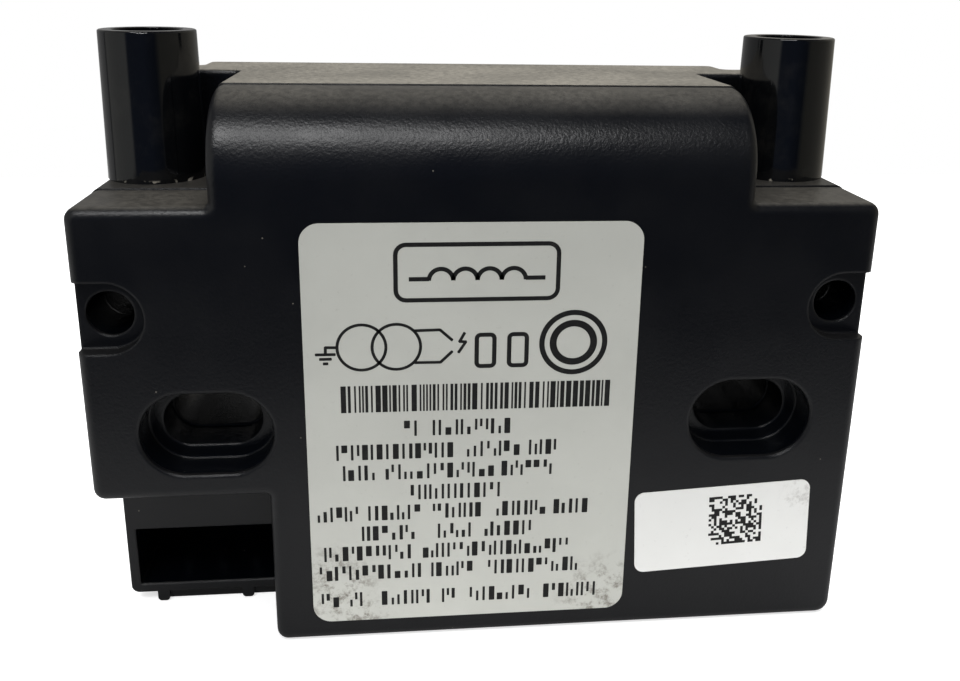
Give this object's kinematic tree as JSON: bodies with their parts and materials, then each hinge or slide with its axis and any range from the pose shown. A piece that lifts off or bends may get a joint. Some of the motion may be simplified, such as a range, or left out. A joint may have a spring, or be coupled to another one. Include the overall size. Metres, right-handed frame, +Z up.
{
  "type": "ignition transformer",
  "caption": "Potted electronic ignition transformer for a burner: a black moulded box with a rounded hump, outlet tubes on its shoulders, slotted fixing holes and a plug-in input.",
  "frame": {"origin": "middle of the flat base", "axes": "+X across the front to the right, +Y from the labelled front to the back, +Z up along the outlet tubes"},
  "size_m": [0.09, 0.0366, 0.072],
  "materials": {
    "housing_plastic": "fine-grained black moulding",
    "outlet_plastic": "polished black moulding",
    "main_label_film": "satin grey polyester film",
    "small_label_film": "satin pale polyester film",
    "contact_metal": "tinned",
    "ferrite": "sintered and ground",
    "former_plastic": "natural moulded nylon",
    "enamelled_copper": "enamelled",
    "lead_insulation": "silicone",
    "board_laminate": "solder-resist green",
    "film_capacitor_case": "moulded box",
    "component_black": "moulded epoxy",
    "varistor_coating": "dipped epoxy",
    "resistor_coating": "dipped lacquer",
    "potting_resin": "cast resin"
  },
  "bodies": {
    "root": {"front_cover": "housing_plastic", "rear_housing": "housing_plastic", "input_pin_carrier": "housing_plastic", "hv_outlet_tube_left": "outlet_plastic", "hv_outlet_tube_right": "outlet_plastic", "main_label": "main_label_film", "small_label": "small_label_film", "input_pin_line": "contact_metal", "input_pin_earth": "contact_metal", "input_pin_neutral": "contact_metal", "hv_terminal_left": "contact_metal", "hv_terminal_right": "contact_metal", "ferrite_core_upper": "ferrite", "ferrite_core_lower": "ferrite", "primary_bobbin": "former_plastic", "secondary_bobbin_left": "former_plastic", "secondary_bobbin_right": "former_plastic", "primary_winding": "enamelled_copper", "secondary_winding_left": "enamelled_copper", "secondary_winding_right": "enamelled_copper", "hv_lead_left": "lead_insulation", "hv_lead_right": "lead_insulation", "circuit_board": "board_laminate", "film_capacitor": "film_capacitor_case", "fuse": "component_black", "rectifier_diodes": "component_black", "thyristor": "component_black", "interference_choke": "component_black", "varistor": "varistor_coating", "power_resistor": "resistor_coating", "potting_compound": "potting_resin"}
  },
  "joints": []
}
